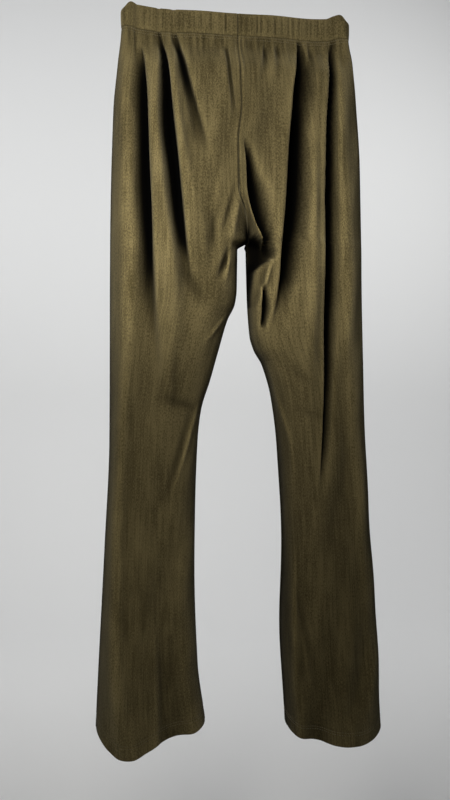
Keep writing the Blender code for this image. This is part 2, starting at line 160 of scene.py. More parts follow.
# Folds: each is a line of (drop, x, depth, width towards the side seam, width towards the middle), in
# millimetres. A depth below 0 is a ridge. The last two numbers of a fold are how square its section is
# on the side towards the side seam, and how far it leans under the cloth nearer the middle.
END = round(1000 * LENGTH)
FOLDS = {
    FRONT: [
        # Right half, from the side to the middle.
        ([(50, -137, 0, 12, 3), (72, -135, 7, 12, 3), (95, -133.5, 14, 9, 3), (130, -132.5, 26, 8, 3.5),
          (200, -132.2, 36, 8, 4.5), (290, -131.2, 36, 9, 6), (340, -130.2, 24, 9, 7),
          (395, -128.5, 14, 10, 8), (450, -126.5, 8, 12, 10), (540, -122, 4, 18, 16),
          (620, -120, 0, 20, 20)], 1.7, 0.25),
        ([(34, -110, 4, 2, 1.8), (36, -109.5, 19, 2.4, 2.2), (48, -108, 22, 3.2, 2.6),
          (69, -105.2, 28, 4.2, 3.2), (110, -103, 36, 5.5, 4.2), (158, -100.5, 42, 7.5, 5),
          (245, -94, 42, 9.5, 6.5), (290, -89.5, 30, 9, 6.5), (330, -85, 18, 9, 6.5),
          (362, -81, 9, 9.5, 7.5), (405, -75.5, 4, 12, 10), (440, -72, 0, 13, 12)], 2.6, 0.25),
        ([(34, -89, 2, 4, 3), (38, -88, 8, 4, 3), (60, -82.5, 13, 5, 3), (95, -77, 16, 7, 3.5),
          (145, -67, 12, 9, 5), (200, -56, 6, 11, 8), (250, -47, 0, 12, 12)], 2.2, 0.1),
        ([(60, -97, 0, 6, 6), (113, -93.5, -6, 7, 7), (172, -88, -8, 8, 8), (240, -78, -6, 10, 10),
          (320, -64, 0, 12, 12)], 2, 0),
        ([(40, -120, 0, 10, 8), (150, -118, -9, 11, 8), (300, -108, -11, 14, 12), (450, -100, -6, 18, 16),
          (560, -100, 0, 18, 16)], 2, 0),
        ([(40, -155, 0, 10, 10), (150, -158, -8, 10, 12), (400, -158, -8, 12, 14),
          (600, -170, -10, 10, 14), (900, -178, -14, 12, 16), (END, -160, -10, 18, 22)], 2, 0),
        # The narrow fold beside the rise seam.
        ([(40, -17.5, 0, 3, 3), (60, -16.5, 5, 3, 2.5), (100, -15, 5, 3, 2.5), (140, -11.5, 4, 3, 3),
          (175, -9, 0, 4, 3)], 2, 0),
        # Left half, from the middle to the side.
        ([(185, 4, 0, 5, 3), (218, 8.5, 14, 7, 3), (242, 12, 30, 9, 4), (272, 17, 40, 14, 5.5),
          (302, 25.5, 36, 12, 5), (327, 34, 28, 8, 4.2), (346, 39, 12, 5, 3.6),
          (360, 41.5, 0, 3, 3)], 2.4, 0.15),
        ([(318, 16.5, 0, 3, 2), (329, 19, 30, 7, 5), (338, 21.5, 50, 14, 15), (346, 22.5, 50, 18.5, 17.5),
          (354, 21.5, 50, 18, 18), (361, 17, 50, 12, 15), (372, 11.7, 50, 6, 11), (390, 11.2, 36, 4.4, 9),
          (412, 11, 0, 3, 6)], 3.2, 0),
        ([(36, 41, 1, 4, 4), (58, 38.5, 6, 4, 3.5), (80, 36, 5, 5, 5), (125, 28, 0, 8, 8)], 2, 0),
        ([(36, 58, 1, 4, 4), (55, 56.5, 6, 4, 4), (80, 55, 3, 5, 5), (110, 53, 0, 6, 6)], 2, 0),
        ([(36, 90.5, 3, 2.5, 2.5), (41, 90.5, 21, 3.5, 3), (50, 90.8, 24, 5, 3.5), (62, 90.8, 30, 8, 5),
          (85, 90, 36, 12, 7), (133, 87, 44, 15, 10), (200, 80, 50, 15, 10), (290, 73.5, 50, 14, 10),
          (345, 66.5, 36, 13, 9), (380, 62, 22, 13, 8), (415, 56, 11, 12, 8), (445, 48, 5, 12, 8),
          (480, 41, 0, 12, 8)], 2.8, 0.25),
        ([(36, 106, 1, 4, 4), (60, 105.5, 6, 4, 4), (95, 104.5, 4, 5, 5), (140, 103, 0, 6, 6)], 2, 0),
        ([(40, 95, 0, 5, 5), (100, 95, -7, 6, 7), (200, 95, -10, 8, 8), (330, 96, -9, 9, 10),
          (480, 94, -6, 10, 14), (600, 92, 0, 14, 16)], 2, 0),
        ([(36, 137.5, 3, 2.5, 2), (42, 136.8, 18, 3, 2.5), (80, 134.5, 26, 4.5, 4),
          (114, 132.5, 34, 5, 4.5), (190, 126.8, 40, 6, 5.5), (285, 124.5, 42, 7, 6.5),
          (360, 123.5, 38, 7, 6.5), (440, 121.5, 28, 6.5, 6), (540, 118, 12, 6, 4.5),
          (620, 113, 8, 5, 3.5), (680, 108, 0, 6, 4)], 2.6, 0.25),
        ([(50, 146, 0, 10, 8), (160, 145, -8, 14, 10), (400, 148, -8, 16, 14), (620, 160, -8, 14, 14),
          (900, 182, -6, 12, 14), (END, 150, -6, 18, 18)], 2, 0),
        ([(385, 30.5, 0, 3, 3), (400, 31.8, 12, 3, 3), (420, 33.8, 16, 4, 4), (435, 32.5, 14, 3.5, 3.5),
          (452, 30, 0, 3, 3)], 2.2, 0.1),
        # Lower legs.
        ([(650, -106, 0, 20, 20), (780, -107, 6, 22, 20), (920, -106, 12, 20, 20),
          (END, -98, 19, 20, 24)], 2, 0),
        ([(800, -128, 0, 8, 8), (930, -120, -4, 8, 6), (END, -118, -3, 8, 5)], 2, 0),
        ([(700, 70, 0, 6, 6), (830, 70, -7, 6, 6), (960, 72, -6, 7, 6), (END, 78, 0, 8, 8)], 2, 0),
        ([(800, 78, 0, 5, 5), (860, 84, 4, 5, 5), (930, 98, 3, 6, 5), (980, 104, 0, 6, 6)], 2, 0),
        ([(820, 110, 0, 16, 18), (END, 104, 16, 16, 20)], 2, 0),
    ],
    BACK: [
        ([(36, -128, 1, 8, 6), (70, -126, 14, 9, 7), (140, -122, 26, 12, 8), (300, -118, 26, 14, 10),
          (480, -114, 10, 18, 14), (620, -112, 0, 18, 16)], 2.2, 0.1),
        ([(36, -94, 1, 6, 5), (65, -91, 12, 7, 6), (150, -82, 22, 11, 9), (260, -70, 18, 14, 12),
          (360, -58, 0, 16, 14)], 2.2, 0.1),
        ([(36, -60, 1, 5, 4), (60, -58, 6, 5, 5), (120, -52, 4, 8, 8), (180, -46, 0, 10, 10)], 2, 0),
        ([(36, 52, 1, 5, 4), (60, 51, 7, 5, 5), (120, 46, 5, 8, 8), (190, 40, 0, 10, 10)], 2, 0),
        ([(36, 88, 1, 6, 5), (65, 86, 14, 8, 6), (150, 80, 25, 12, 9), (280, 70, 22, 14, 12),
          (400, 60, 0, 16, 14)], 2.2, 0.1),
        ([(36, 122, 1, 7, 5), (70, 121, 14, 9, 7), (150, 118, 26, 12, 9), (340, 116, 24, 14, 11),
          (500, 110, 8, 18, 14), (640, 106, 0, 18, 18)], 2.2, 0.1),
        ([(500, -130, 0, 20, 20), (800, -128, 10, 22, 22), (END, -124, 20, 20, 22)], 2, 0),
        ([(500, 128, 0, 20, 20), (800, 136, 10, 22, 22), (END, 146, 20, 22, 22)], 2, 0),
        ([(100, -105, 0, 10, 10), (250, -98, -7, 12, 12), (420, -90, 0, 16, 16)], 2, 0),
        ([(100, 101, 0, 10, 10), (250, 95, -7, 12, 12), (420, 88, 0, 16, 16)], 2, 0),
    ],
}
# Short slanting wrinkles: drop and x at one end, drop and x at the other, depth, width, in millimetres.
WRINKLES = {
    FRONT: [
        (342, -16.5, 382, -32, 7.5, 4.2), (296, -40, 346, -39.4, 5, 5.2), (258, -10.5, 322, -27, 3, 3),
        (262, -2, 334, -14.5, -4.6, 4.5), (334, -14.5, 386, -21.2, -3.4, 2.4),
        (240, -29, 290, -38, -2.4, 6), (300, -48, 372, -44, 2.4, 4), (372, -80, 415, -56, 3, 9),
        (430, -18, 468, -49, -2.8, 2.8), (555, -59, 665, -93, -3.6, 3.2), (560, -69, 680, -104, 3, 6),
        (545, -110, 560, -62, 2.6, 7), (470, -90, 560, -94, 1.8, 6), (500, 38, 607, 68, -3.6, 3),
        (596, 67, 660, 72, -1.2, 3), (500, 60, 530, 100, 1.4, 7), (560, 70, 575, 120, 1.4, 7),
        (352, 41.5, 422, 23, -8, 3.4), (262, 5, 366, 43, -6, 2.8),
    ],
    BACK: [
        (285, -60, 335, -10, 3, 6), (285, 60, 335, 16, 3, 6), (330, -60, 390, -16, 2.4, 7),
        (330, 64, 390, 20, 2.4, 7), (560, -120, 575, -64, 2.2, 7), (590, 70, 600, 124, 2.2, 7),
    ],
}
# How dark the painted shade inside a deep fold is, the depth at which it is so, how light the painted
# highlight on ridges is, the ridge height at which it is so, and how strong the painted shade and highlight
# of wrinkles and gathers are.
FOLD_PAINTED_SHADE, DARK_DEPTH = 0.960, 0.011
RIDGE_PAINTED_HIGHLIGHT, RIDGE_HEIGHT, WRINKLE_PAINTED_SHADING = 0.16, 0.009, 0.50
# Gathers just below the waistband: (x, depth, half width, how far down they fade).
rng = np.random.default_rng(7)
GATHERS = {
    face: [(x + rng.uniform(-0.002, 0.002), rng.uniform(0.0006, 0.0022),
            rng.uniform(0.0016, 0.0034), rng.uniform(0.02, 0.06))
           for x in np.arange(-0.150, 0.151, 0.0085)] for face in (FRONT, BACK)
}
# Soft waves all over the cloth: (turns across, turns down, phase, depth).
WAVES = [(rng.uniform(10, 46), rng.uniform(1.0, 9.0), rng.uniform(0, 6.3), rng.uniform(0.0002, 0.0007))
         for _ in range(14)]


def fold_depths(face, drop, x):
    """How far every fold, wrinkle and gather pushes the cloth in at a drop, how far towards +X,
    and the painted shade there: 0 is as dark as the painted shade inside a fold, 1 is open cloth, and above
    1 is a painted highlight on a ridge."""
    depth, across, tone = np.zeros_like(x), np.zeros_like(x), np.ones_like(x)
    for stations, square, lean in FOLDS[face]:
        line = np.array(stations) / 1000
        if not line[0, 0] <= drop <= line[-1, 0]:
            continue
        middle, deep, out_width, in_width = (through(line[:, (0, i)], drop) for i in (1, 2, 3, 4))
        outwards = (x - middle) * (1 if middle > 0 else -1)
        width = np.where(outwards > 0, out_width, in_width)
        power = np.where(outwards > 0, square, 2.8)
        push = deep * np.exp(-np.abs(outwards / width) ** power)
        depth += push
        across -= lean * push * (1 if middle > 0 else -1)
        near = np.exp(-np.abs(outwards / width) ** (power + 0.5))
        if deep > 0:
            # Painted shade inside a deep fold, darker the deeper and narrower the fold is.
            steep = min(deep / (out_width + in_width), 1) ** 1.5
            tone *= 1 - FOLD_PAINTED_SHADE * steep * (1 - math.exp(-(deep / DARK_DEPTH) ** 1.5)) * near
        else:
            # Painted highlight along a ridge.
            tone *= 1 + RIDGE_PAINTED_HIGHLIGHT * min(-deep / RIDGE_HEIGHT, 1) * near
    for s0, x0, s1, x1, deep, width in np.array(WRINKLES[face]) / 1000:
        run = np.array([s1 - s0, x1 - x0])
        f = np.clip(((drop - s0) * run[0] + (x - x0) * run[1]) / (run @ run), 0, 1)
        apart = np.hypot(drop - s0 - f * run[0], x - x0 - f * run[1])
        near = np.sin(math.pi * (0.08 + 0.84 * f)) * np.exp(-(apart / width) ** 2)
        depth += deep * near
        # Painted shade in a wrinkle's hollow and painted highlight on a wrinkle's ridge.
        tone *= 1 - WRINKLE_PAINTED_SHADING * np.clip(deep / 0.003, -0.6, 1) * near
    if drop < 0.11:
        for place, deep, width, reach in GATHERS[face]:
            fade = smooth((drop - 0.033) / 0.008) * (1 - smooth((drop - 0.045) / reach))
            near = fade * bump(x, place, width)
            depth += deep * near
            # Painted shade in each gather.
            tone *= 1 - WRINKLE_PAINTED_SHADING * deep / 0.003 * near
    swell = smooth((drop - 0.06) / 0.1)
    for along, down, phase, deep in WAVES:
        depth += deep * swell * np.sin(2 * math.pi * (along * x * 0.5 + down * drop) + phase * face)
    return depth, across, tone


ACROSS_SHARE = (1 - np.cos(np.linspace(0, math.pi, DENSE))) / 2


def section(side, face, drop):
    """The cloth seen from above at one drop, from the side to the middle seam or inseam."""
    outer = float(through(OUTER[side], drop))
    if drop < RISE:
        apart = max(0.0, (drop - LEGS_PART_DROP) / (RISE - LEGS_PART_DROP))
        inner = -outer * (1 - float(smooth(apart)))
        shift = float(through(CROTCH_SHIFT, drop)) * smooth((drop - 0.14) / 0.06)
    else:
        fade = 1 - smooth((drop - RISE) / (CROTCH_SHIFT_END - RISE))
        inner = float(through(INNER[side], drop)) * (1 - fade)
        shift = CROTCH_SHIFT[-1][1] * fade
    depth = float(through(HALF_DEPTH[face], drop))
    mix = float(smooth((drop - BAND_HEIGHT) / DRAPE_IN_DROP))
    x = outer + (max(inner, 0) - outer) * ACROSS_SHARE
    y = waist_depth(x * WAIST_HALF / outer) * (1 - mix) + lobe_depth(x, outer, inner, depth) * mix
    x, y = side * x, face * y
    x = x + shift * np.clip(1 - np.abs(x) / 0.032, 0, 1) ** 1.5
    hold = smooth(np.abs(y) / (0.45 * depth * mix + 0.004 * (1 - mix)))
    inwards, across, tone = fold_depths(face, drop, x)
    # No fold reaches the plane between the front and the back.
    room = np.maximum(np.abs(y) - 0.003, 0.0005)
    held = hold / (1 + np.maximum(inwards * hold / room, 0) ** 6) ** (1 / 6)
    # The third column is the painted shade and highlight of the folds, wrinkles and gathers.
    return np.stack([x + across * held, y - face * inwards * held, tone], axis=1)


def panel_line(side, face, line, front_line):
    """The part of the outline that one panel covers: the left side seam lies a little forward."""
    forward = SEAM_FORWARD[side]
    if face == FRONT:
        length = resampled(line)[1]
        return resampled(line, np.linspace(forward, length, 4 * DENSE))[0]
    wrap = resampled(front_line, np.linspace(forward, 0, 9))[0]
    return np.concatenate([wrap[:-1], line]) if forward else line


def drops():
    """The rows of the cloth, from the waist seam to the hem."""
    top = np.arange(BAND_HEIGHT, 0.12, 0.0022)
    middle = np.arange(0.12, 0.50, 0.0032)
    low = np.arange(0.50, LENGTH - 0.024, 0.0045)
    end = np.linspace(LENGTH - 0.024, LENGTH, 13)
    return np.concatenate([top, middle, low, end])


ROWS = drops()
EDGE = np.array([0.0, 0.0006, 0.0012, 0.0020, 0.0030, 0.0045])
COLUMNS = 136


def lift(side, x, drop):
    """How much higher than its drop the cloth hangs, near the clips and above the wavy hem."""
    hem = (LENGTH - through(HEM_DROP[side], np.abs(x))) * smooth((drop - 0.70) / (LENGTH - 0.72))
    return hem + 0.7 * through(WAIST_LIFT, x) * (1 - smooth((drop - BAND_HEIGHT) / 0.07))


def panel_grid(side, face):
    """The panel's outside as [row, column] points, their distances along the cloth and their painted shade.
    The same columns serve all rows, closer together where the folds are deep and beside the seams."""
    lines = [section(side, face, float(drop)) for drop in ROWS]
    fronts = [section(side, FRONT, float(drop)) for drop in ROWS]
    arcs = np.array([distances(line[:, :2]) for line in lines])
    arcs /= arcs[:, -1:]
    usual = arcs.mean(axis=0)
    places = np.interp(np.linspace(0, 1, COLUMNS), usual, np.arange(DENSE))
    grid, along, painted_shading = [], [], []
    for drop, line, front, arc in zip(ROWS, lines, fronts, arcs):
        line = panel_line(side, face, line, front)
        length = resampled(line)[1]
        share = np.interp(places, np.arange(DENSE), arc)[1:-1]
        inner = EDGE[-1] + share * (length - 2 * EDGE[-1])
        at = np.concatenate([EDGE, inner, length - EDGE[::-1]])
        points = resampled(line, at)[0]
        grid.append(np.column_stack([points[:, :2], -drop + lift(side, points[:, 0], drop)]))
        along.append(at)
        painted_shading.append(points[:, 2])
    return np.array(grid), np.array(along), np.array(painted_shading)


def normals_of(grid, outward_sign):
    """Unit normals of a grid."""
    across, down = np.gradient(grid, axis=1), np.gradient(grid, axis=0)
    normal = np.cross(across, down) * outward_sign
    return normal / np.maximum(np.linalg.norm(normal, axis=2, keepdims=True), 1e-12)


# The rows of stitches, as distances below the waist seam and above the hem.
WAIST_ROWS = {"upper": 0.0016, "lower": 0.0052}
HEM_ROWS = {"upper": 0.0180, "lower": 0.0146}


def puckers():
    """How far the waist seam and the rows of stitches press each row of the cloth."""
    below, above = ROWS - BAND_HEIGHT, LENGTH - ROWS
    press = -0.0004 * bump(below, 0, 0.0009)
    for row in WAIST_ROWS.values():
        press = press - 0.0005 * bump(below, row, 0.0009)
    for row in HEM_ROWS.values():
        press = press - 0.0004 * bump(above, row, 0.0010)
    return press[:, None, None]


PAIRS = [(side, face) for side in (LEFT, RIGHT) for face in (FRONT, BACK)]
GRIDS, ALONG, NORMALS, PAINTED_SHADING = {}, {}, {}, {}
for side, face in PAIRS:
    grid, along, painted_shading = panel_grid(side, face)
    normal = normals_of(grid, -side * face)
    # Each seam is a groove between two soft ridges.
    for off in (along, along[:, -1:] - along):
        press = -0.0014 * bump(off, 0, 0.0012) + 0.0007 * bump(off, 0.0036, 0.0015)
        grid = grid + normal * press[:, :, None]
        # Painted shade in each seam's groove and painted highlight on the soft ridges beside it.
        painted_shading *= 1 - 0.5 * bump(off, 0, 0.0013) + 0.14 * bump(off, 0.0038, 0.0016)
    GRIDS[side, face], ALONG[side, face] = grid + normal * puckers(), along
    NORMALS[side, face], PAINTED_SHADING[side, face] = normal, painted_shading


LEGS_MEET_END = 0.420
# The openness at and below which the cloth gets its darkest painted shade, and at and above which it gets
# none.
OPEN_DARK, OPEN_BRIGHT = 0.46, 0.88


def openness(line, face):
    """For each point of a line seen from above, the share of the sky before it that is not hidden
    by the rest of the line: 1 on a ridge and near 0 in a deep fold."""
    x, out = line[:, 0], face * line[:, 1]
    across = x[None, :] - x[:, None]
    rise = np.maximum(out[None, :] - out[:, None], 0)
    slope = rise / np.maximum(np.abs(across), 1e-6)
    clear = [1 / np.sqrt(1 + np.where(here, slope, 0).max(axis=1) ** 2)
             for here in (across > 0.0008, across < -0.0008)]
    return (clear[0] + clear[1]) / 2


def face_openness(face):
    """The openness of every point of both panels of a face; above the crotch they are one line."""
    found = {side: np.empty(GRIDS[side, face].shape[:2]) for side in (LEFT, RIGHT)}
    for row, drop in enumerate(ROWS):
        lines = [GRIDS[side, face][row, :, :2] for side in (RIGHT, LEFT)]
        if drop < LEGS_MEET_END:
            both = openness(np.concatenate([lines[0], lines[1][::-1]]), face)
            found[RIGHT][row], found[LEFT][row] = both[:len(lines[0])], both[len(lines[0]):][::-1]
        else:
            found[RIGHT][row], found[LEFT][row] = (openness(line, face) for line in lines)
    return found


def ridge(side, face):
    """How far each point stands out from the cloth beside it: above 0 on a ridge."""
    out = face * GRIDS[side, face][:, :, 1]
    reach = np.arange(-9, 10)
    weight = np.exp(-(reach / 5.0) ** 2)
    wide = np.pad(out, ((0, 0), (9, 9)), mode="edge")
    beside = sum(w * wide[:, 9 + r:9 + r + out.shape[1]] for r, w in zip(reach, weight)) / weight.sum()
    return out - beside


# How light the cloth is coloured at each drop down each leg, as (drop, tone) for each leg: partly painted
# light and shade, partly the cloth's own tone.
LEG_TONE_AND_PAINTED_LIGHT = {
    LEFT: [(BAND_HEIGHT, 0.84), (0.200, 0.80), (0.280, 0.90), (0.350, 1.06), (0.420, 1.02),
           (0.520, 0.70), (0.600, 0.62), (0.750, 0.56), (0.900, 0.62), (LENGTH, 0.78)],
    RIGHT: [(BAND_HEIGHT, 0.82), (0.200, 0.82), (0.280, 0.92), (0.350, 1.08), (0.420, 1.04),
            (0.520, 0.72), (0.600, 0.68), (0.750, 0.80), (0.900, 0.94), (LENGTH, 1.05)],
}


def shade_of(side, face):
    """The cloth's painted shade: dark in deep folds and lighter on ridges, as painted shade and painted
    highlight, times the tone down each leg, which is partly painted light.
    """
    # Painted shade where the rest of the cloth hides the sky, as in folds and between the legs.
    opened = np.clip((OPEN[side, face] - OPEN_DARK) / (OPEN_BRIGHT - OPEN_DARK), 0, 1)
    # Painted highlight on ridges and painted shade in the hollows between them.
    relief = np.clip(ridge(side, face) / 0.0024, -0.7, 1)
    leg_tone_and_painted_light = through(LEG_TONE_AND_PAINTED_LIGHT[side], ROWS)[:, None]
    return (0.02 + 0.98 * opened ** 1.2) * PAINTED_SHADING[side, face] * leg_tone_and_painted_light * (1 + 0.36 * relief)


OPEN = {(side, face): found for face in (FRONT, BACK) for side, found in face_openness(face).items()}


class Look:
    """A material under construction, with short ways to add its nodes."""

    def __init__(self, name, rough, specular):
        self.made = bpy.data.materials.new(name)
        self.made.use_nodes = True
        self.nodes, self.links = self.made.node_tree.nodes, self.made.node_tree.links
        self.shader = self.nodes["Principled BSDF"]
        self.shader.inputs["Roughness"].default_value = rough
        self.shader.inputs["Specular IOR Level"].default_value = specular

    def scaled(self, vector, scale):
        node = self.nodes.new("ShaderNodeMapping")
        node.inputs["Scale"].default_value = scale
        self.links.new(vector, node.inputs["Vector"])
        return node.outputs["Vector"]

    def noise(self, vector, scale, detail, rough=0.5):
        node = self.nodes.new("ShaderNodeTexNoise")
        node.inputs["Scale"].default_value = 1.0
        node.inputs["Detail"].default_value = detail
        node.inputs["Roughness"].default_value = rough
        self.links.new(self.scaled(vector, scale), node.inputs["Vector"])
        return node.outputs["Fac"]

    def math(self, operation, first, second):
        node = self.nodes.new("ShaderNodeMath")
        node.operation = operation
        for socket, value in zip(node.inputs, (first, second)):
            if isinstance(value, (int, float)):
                socket.default_value = value
            else:
                self.links.new(value, socket)
        return node.outputs[0]

    def ramp(self, factor, low, high):
        """A colour that runs between two (place, colour) ends."""
        node = self.nodes.new("ShaderNodeValToRGB")
        for element, (place, colour) in zip(node.color_ramp.elements, (low, high)):
            element.position = place
            element.color = (*colour, 1)
        self.links.new(factor, node.inputs["Fac"])
        return node.outputs["Color"]

    def bump(self, height, distance):
        node = self.nodes.new("ShaderNodeBump")
        node.inputs["Strength"].default_value = 0.5
        node.inputs["Distance"].default_value = distance
        self.links.new(height, node.inputs["Height"])
        self.links.new(node.outputs["Normal"], self.shader.inputs["Normal"])


def cloth_material(name, colour, dark, ribs, rib_depth, sheen):
    """Brushed rib cloth: fine lengthwise ribs under a short nap that is brushed unevenly."""
    look = Look(name, 0.95, 0.04)
    look.shader.inputs["Sheen Roughness"].default_value = 0.45
    look.shader.inputs["Sheen Tint"].default_value = (0.75, 0.66, 0.42, 1)
    uv = look.nodes.new("ShaderNodeUVMap")
    uv.uv_map = "cloth"
    place = uv.outputs["UV"]
    nap = look.noise(place, (640, 330, 1), 2, 0.7)
    streak = look.noise(place, (260, 16, 1), 3, 0.6)
    patch = look.noise(place, (16, 9, 1), 3, 0.6)
    wave = look.nodes.new("ShaderNodeTexWave")
    wave.wave_type = "BANDS"
    wave.bands_direction = "X"
    wave.inputs["Scale"].default_value = ribs
    wave.inputs["Distortion"].default_value = 1.2
    wave.inputs["Detail"].default_value = 2
    wave.inputs["Detail Scale"].default_value = 0.6
    look.links.new(look.scaled(place, (1, 0.12, 1)), wave.inputs["Vector"])
    tone = look.math("ADD", look.math("MULTIPLY", nap, 0.42), look.math("MULTIPLY", streak, 0.24))
    tone = look.math("ADD", tone, look.math("MULTIPLY", patch, 0.26))
    tone = look.math("ADD", tone, look.math("MULTIPLY", wave.outputs["Fac"], 0.10))
    # The mesh's 'shade' attribute is painted shade and light, multiplied into the colour and the sheen.
    shade = look.nodes.new("ShaderNodeAttribute")
    shade.attribute_name = "shade"
    depths = look.nodes.new("ShaderNodeMix")
    depths.data_type, depths.blend_type = "RGBA", "MULTIPLY"
    depths.inputs["Factor"].default_value = 1
    look.links.new(look.ramp(tone, (0.43, dark), (0.59, colour)), depths.inputs["A"])
    look.links.new(shade.outputs["Color"], depths.inputs["B"])
    look.links.new(depths.outputs["Result"], look.shader.inputs["Base Color"])
    look.links.new(look.math("MULTIPLY", shade.outputs["Fac"], sheen), look.shader.inputs["Sheen Weight"])
    rib = look.math("MULTIPLY", wave.outputs["Fac"], 0.5)
    look.bump(look.math("ADD", rib, look.math("MULTIPLY", nap, 0.9)), rib_depth)
    return look.made


def yarn_material(name, colour, across, down, depth, rough=0.8):
    """Close woven or sewn yarns."""
    look = Look(name, rough, 0.25)
    look.shader.inputs["Sheen Weight"].default_value = 0.2
    place = look.nodes.new("ShaderNodeTexCoord")
    yarns = look.noise(place.outputs["Object"], (across, across, down), 3)
    dark = [c * 0.6 for c in colour]
    look.links.new(look.ramp(yarns, (0.3, dark), (0.7, colour)), look.shader.inputs["Base Color"])
    look.bump(yarns, depth)
    return look.made


OLIVE, DARK_OLIVE = (0.152, 0.122, 0.057), (0.046, 0.036, 0.015)
CLOTH_LOOK = cloth_material("velour", OLIVE, DARK_OLIVE, 340, 0.0006, 0.30)
THREAD_LOOK = yarn_material("thread", (0.150, 0.125, 0.065), 2500, 2500, 0.0001)
OVERLOCK_LOOK = yarn_material("overlock", (0.110, 0.090, 0.042), 900, 500, 0.0006)
ELASTIC_LOOK = yarn_material("elastic", (0.62, 0.60, 0.55), 500, 1500, 0.0004)
LABEL_LOOK = yarn_material("label", (0.80, 0.79, 0.76), 1800, 1800, 0.0001, 0.5)


def add_piece(name, mesh, material, nodes):
    """Links a finished piece, which stands for the CAD nodes and rides on the one body."""
    piece = bpy.data.objects.new(name, mesh)
    mesh.materials.append(material)
    bpy.context.scene.collection.objects.link(piece)
    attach(piece, "root")
    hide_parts(*nodes)
    return piece


def quads_of(index):
    """The quads between the neighbours in a [row, column] grid of point numbers."""
    corners = (index[:-1, :-1], index[:-1, 1:], index[1:, 1:], index[1:, :-1])
    return np.stack(corners, axis=-1).reshape(-1, 4)


def grid_mesh(name, grid, flip, uv=None, shade=None):
    """A smooth sheet over [row, column] points, with the cloth's UVs in metres and its painted shade and
    light.
    """
    quads = quads_of(np.arange(grid.shape[0] * grid.shape[1]).reshape(grid.shape[:2]))
    mesh = bpy.data.meshes.new(name)
    mesh.from_pydata(grid.reshape(-1, 3).tolist(), [], (quads[:, ::-1] if flip else quads).tolist())
    if uv is not None:
        layer = mesh.uv_layers.new(name="cloth")
        corners = np.empty(len(mesh.loops), int)
        mesh.loops.foreach_get("vertex_index", corners)
        layer.data.foreach_set("uv", uv.reshape(-1, 2)[corners].ravel())
        colours = np.ones((len(mesh.vertices), 4))
        colours[:, :3] = shade.reshape(-1, 1)
        mesh.color_attributes.new("shade", "FLOAT_COLOR", "POINT").data.foreach_set("color", colours.ravel())
    mesh.shade_smooth()
    return mesh


def thicken(piece, thickness):
    """Gives a surface its thickness, away from its normals."""
    solid = piece.modifiers.new("thickness", "SOLIDIFY")
    solid.thickness = thickness
    solid.offset = -1


def cloth_points(side, face, drop, distance, inset):
    """Points of the shown cloth at a drop and at distances from the side seam, moved in by inset."""
    grid, along, normal = (found[side, face] for found in (GRIDS, ALONG, NORMALS))
    place = np.clip(np.interp(drop, ROWS, np.arange(len(ROWS))), 0, len(ROWS) - 1.001)
    first = int(place)
    total = np.zeros((len(distance), 3))
    for row, share in ((first, 1 - place + first), (first + 1, place - first)):
        points = grid[row] - normal[row] * inset
        total += share * np.column_stack([np.interp(distance, along[row], column) for column in points.T])
    return total


def panel_length(side, face, drop):
    """The cloth's length at a drop from the side seam to the middle seam or inseam."""
    return float(np.interp(drop, ROWS, ALONG[side, face][:, -1]))


CURL = 0.0013


def curled(grid, normal, steps=5):
    """The grid with its bottom edge rolled under, as a pressed hem is."""
    last, inward = grid[-1], -normal[-1] * [1, 1, 0]
    extra = []
    for k in range(1, steps + 1):
        angle = math.radians(150) * k / steps
        down = np.array([0, 0, -CURL * math.sin(angle)])
        extra.append(last + inward * CURL * (1 - math.cos(angle)) + down)
    return np.concatenate([grid, extra])


def make_panel(side, face):
    """One leg panel's cloth, with its greatest width, its length and its area when flat."""
    along = ALONG[side, face]
    grid = curled(GRIDS[side, face], NORMALS[side, face])
    extra = len(grid) - len(ROWS)
    down = np.concatenate([-ROWS, -LENGTH - 0.0008 * np.arange(1, extra + 1)])
    # The grain follows the columns, so it runs down the cloth as it is gathered and let out.
    grain = along[::8].mean(axis=0) * side + face * 0.7
    uv = np.stack(np.meshgrid(grain, down), axis=-1)
    shade = shade_of(side, face)
    shade = np.concatenate([shade, np.repeat(shade[-1:], extra, axis=0)])
    name = f"{FACE_NAMES[face]}_{SIDE_NAMES[side]}_panel"
    mesh = grid_mesh(f"cloth_{name}", grid, side * face > 0, uv, shade)
    piece = add_piece(f"cloth_{name}", mesh, CLOTH_LOOK, [name])
    thicken(piece, CLOTH)
    area = float((np.diff(ROWS) * (along[1:, -1] + along[:-1, -1]) / 2).sum())
    return piece, float(along[:, -1].max()), LENGTH - BAND_HEIGHT, area


PANELS = {(side, face): make_panel(side, face) for side, face in PAIRS}


def pleats(seed, fixed):
    """The waistband's small pleats as (place, depth, width), the place being x from the middle."""
    made = np.random.default_rng(seed)
    places = [x for x in np.arange(-0.155, 0.156, 0.0062)
              if all(abs(x - at) > 0.008 for at, _, _ in fixed)]
    return fixed + [(float(x + made.uniform(-0.002, 0.002)), float(made.uniform(0.0002, 0.0009)),
                     float(made.uniform(0.0009, 0.0019))) for x in places]


PLEATS = {
    FRONT: pleats(3, [(-0.017, 0.0016, 0.0012), (0.0275, 0.0017, 0.0012), (0.033, 0.0015, 0.0012),
                      (0.053, 0.0013, 0.0012), (-0.038, 0.0008, 0.0015)]),
    BACK: pleats(4, [(-0.045, 0.0015, 0.0013), (0.020, 0.0016, 0.0013), (0.062, 0.0014, 0.0013)]),
}
FOLD_RADIUS = 0.0021
BAND_OUT = 0.0003


